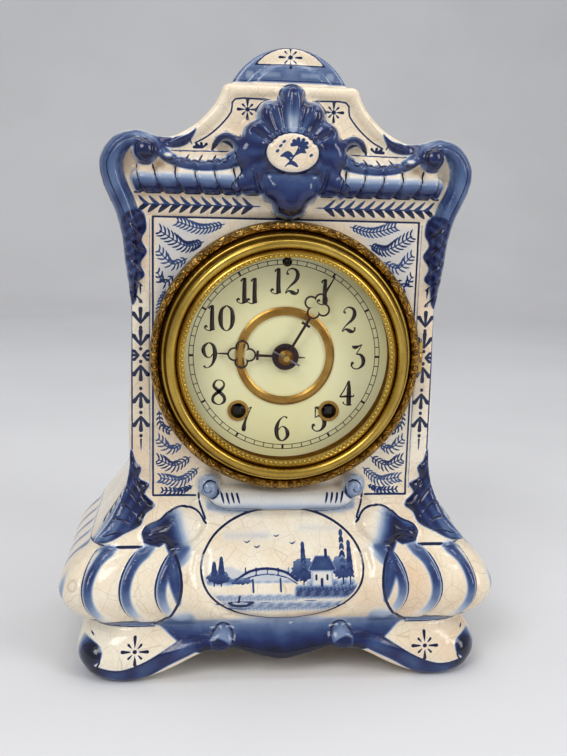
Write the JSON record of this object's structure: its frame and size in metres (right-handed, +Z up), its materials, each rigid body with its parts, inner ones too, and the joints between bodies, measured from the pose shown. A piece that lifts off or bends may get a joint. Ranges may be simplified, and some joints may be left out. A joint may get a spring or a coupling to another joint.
{
  "type": "mantel clock",
  "caption": "Hollow glazed ceramic mantel clock with a hinged glazed brass door, hands, a spring-driven time and strike movement, pendulum, gong and rear door",
  "frame": {"origin": "under the middle of the case, on the surface that the feet stand on", "axes": "X to the viewer's right, Y away from the viewer towards the flat back, Z up"},
  "size_m": [0.227, 0.1101, 0.311],
  "materials": {
    "glazed_ceramic": "crackled glaze with blue decoration",
    "dial_enamel": "glossy cream enamel",
    "glass": "clear, bevelled",
    "bezel_brass": "polished with dark age in the hollows",
    "gilt_brass": "gilt, worn",
    "movement_brass": "lacquered",
    "hand_steel": "dark maroon black",
    "steel": "plain",
    "iron": "japanned"
  },
  "bodies": {
    "case": {"ceramic_case": "glazed_ceramic", "rear_frame": "movement_brass", "rear_hinge_pin": "steel", "case_bolts": "steel", "dial_pan": "movement_brass", "pan_screws": "steel", "dial_sheet": "movement_brass", "dial_ring": "dial_enamel", "dial_centre": "dial_enamel", "dial_centre_ring": "gilt_brass", "winding_grommets": "gilt_brass", "bezel_hinge_leaf": "movement_brass", "bezel_hinge_pin": "steel", "bezel_catch": "movement_brass", "front_plate": "movement_brass", "back_plate": "movement_brass", "pillars": "movement_brass", "pillar_nuts": "movement_brass", "time_mainspring": "steel", "strike_mainspring": "steel", "suspension_post": "movement_brass", "suspension_spring": "steel", "minute_stud": "steel", "gong": "steel", "gong_stand": "iron", "gong_screw": "steel"},
    "bezel_door": {"bezel_ring": "bezel_brass", "bezel_rope_rim": "bezel_brass", "glass": "glass", "glass_retainer": "movement_brass"},
    "rear_door": {"rear_door": "movement_brass"},
    "rear_latch": {"rear_latch": "movement_brass"},
    "minute_arbor": {"centre_arbor": "movement_brass", "minute_hand": "hand_steel", "hand_washer": "gilt_brass", "taper_pin": "steel"},
    "hour_pipe": {"hour_wheel": "movement_brass", "hour_hand": "hand_steel"},
    "minute_wheel": {"minute_wheel": "movement_brass"},
    "time_great_wheel": {"time_great_wheel": "movement_brass", "time_click": "steel"},
    "time_winding_arbor": {"time_winding_arbor": "steel"},
    "time_second_wheel": {"time_second_wheel": "movement_brass"},
    "time_third_wheel": {"time_third_wheel": "movement_brass"},
    "escape_wheel": {"escape_wheel": "movement_brass"},
    "strike_great_wheel": {"strike_great_wheel": "movement_brass", "strike_click": "steel"},
    "strike_winding_arbor": {"strike_winding_arbor": "steel"},
    "strike_second_wheel": {"strike_second_wheel": "movement_brass"},
    "strike_pin_wheel": {"strike_pin_wheel": "movement_brass"},
    "warning_wheel": {"warning_wheel": "movement_brass"},
    "fly": {"fly": "movement_brass"},
    "verge": {"verge": "steel"},
    "pendulum": {"pendulum_rod": "steel", "pendulum_bob": "movement_brass", "rating_nut": "movement_brass"},
    "regulator_arbor": {"regulator_arbor": "steel"},
    "hammer": {"hammer": "steel"}
  },
  "joints": [
    {"name": "bezel_hinge", "type": "hinge", "parent": "case", "child": "bezel_door", "pos_m": [0.0688, -0.0279, 0.162], "axis": [0, 0, 1], "range_deg": [0, 110]},
    {"name": "rear_door_hinge", "type": "hinge", "parent": "case", "child": "rear_door", "pos_m": [0.0494, 0.0527, 0.162], "axis": [0, 0, -1], "range_deg": [0, 120]},
    {"name": "rear_latch_turn", "type": "hinge", "parent": "case", "child": "rear_latch", "pos_m": [-0.04736, 0.053, 0.17924], "axis": [0, 1, 0], "range_deg": [0, 90]},
    {"name": "minute_hand_turn", "type": "hinge", "parent": "case", "child": "minute_arbor", "pos_m": [0, -0.02, 0.162], "axis": [0, 1, 0], "continuous": true},
    {"name": "hour_hand_turn", "type": "hinge", "parent": "case", "child": "hour_pipe", "pos_m": [0, -0.025, 0.162], "axis": [0, 1, 0], "continuous": true},
    {"name": "minute_wheel_turn", "type": "hinge", "parent": "case", "child": "minute_wheel", "pos_m": [-0.01271, -0.016, 0.16876], "axis": [0, 1, 0], "continuous": true},
    {"name": "time_third_turn", "type": "hinge", "parent": "case", "child": "time_third_wheel", "pos_m": [0.0135, 0, 0.17629], "axis": [0, 1, 0], "continuous": true},
    {"name": "time_great_turn", "type": "hinge", "parent": "case", "child": "time_great_wheel", "pos_m": [0.023, 0, 0.134], "axis": [0, 1, 0], "continuous": true},
    {"name": "time_second_turn", "type": "hinge", "parent": "case", "child": "time_second_wheel", "pos_m": [0.02196, 0, 0.15642], "axis": [0, 1, 0], "continuous": true},
    {"name": "escape_turn", "type": "hinge", "parent": "case", "child": "escape_wheel", "pos_m": [0, 0, 0.18], "axis": [0, 1, 0], "continuous": true},
    {"name": "time_winding", "type": "hinge", "parent": "case", "child": "time_winding_arbor", "pos_m": [0.023, 0, 0.134], "axis": [0, 1, 0], "range_deg": [0, 2520]},
    {"name": "warning_turn", "type": "hinge", "parent": "case", "child": "warning_wheel", "pos_m": [-0.02537, 0, 0.18371], "axis": [0, 1, 0], "continuous": true},
    {"name": "strike_pin_turn", "type": "hinge", "parent": "case", "child": "strike_pin_wheel", "pos_m": [-0.0135, 0, 0.17629], "axis": [0, 1, 0], "continuous": true},
    {"name": "strike_great_turn", "type": "hinge", "parent": "case", "child": "strike_great_wheel", "pos_m": [-0.023, 0, 0.134], "axis": [0, 1, 0], "continuous": true},
    {"name": "strike_second_turn", "type": "hinge", "parent": "case", "child": "strike_second_wheel", "pos_m": [-0.02196, 0, 0.15642], "axis": [0, 1, 0], "continuous": true},
    {"name": "fly_turn", "type": "hinge", "parent": "case", "child": "fly", "pos_m": [-0.02151, 0, 0.1956], "axis": [0, 1, 0], "continuous": true},
    {"name": "strike_winding", "type": "hinge", "parent": "case", "child": "strike_winding_arbor", "pos_m": [-0.023, 0, 0.134], "axis": [0, 1, 0], "range_deg": [0, 2520]},
    {"name": "pendulum_swing", "type": "hinge", "parent": "case", "child": "pendulum", "pos_m": [0, 0.0207, 0.193], "axis": [0, 1, 0], "range_deg": [-4, 4]},
    {"name": "verge_rock", "type": "hinge", "parent": "case", "child": "verge", "pos_m": [0, 0.01, 0.193], "axis": [0, 1, 0], "range_deg": [-4, 4]},
    {"name": "regulator_turn", "type": "hinge", "parent": "case", "child": "regulator_arbor", "pos_m": [0, 0, 0.209], "axis": [0, 1, 0], "range_deg": [-360, 360]},
    {"name": "hammer_lift", "type": "hinge", "parent": "case", "child": "hammer", "pos_m": [-0.04, 0, 0.178], "axis": [0, 1, 0], "range_deg": [0, 12]}
  ],
  "couplings": [
    {"joint": "hour_hand_turn", "follows": "minute_hand_turn", "ratio": 0.083333},
    {"joint": "minute_wheel_turn", "follows": "minute_hand_turn", "ratio": -0.33333},
    {"joint": "time_second_turn", "follows": "time_third_turn", "ratio": -0.125},
    {"joint": "time_great_turn", "follows": "time_third_turn", "ratio": 0.016667},
    {"joint": "escape_turn", "follows": "time_third_turn", "ratio": -6},
    {"joint": "strike_pin_turn", "follows": "warning_turn", "ratio": -0.16667},
    {"joint": "strike_second_turn", "follows": "warning_turn", "ratio": 0.020833},
    {"joint": "strike_great_turn", "follows": "warning_turn", "ratio": -0.0027778},
    {"joint": "fly_turn", "follows": "warning_turn", "ratio": -5.25},
    {"joint": "verge_rock", "follows": "pendulum_swing", "ratio": 1}
  ]
}
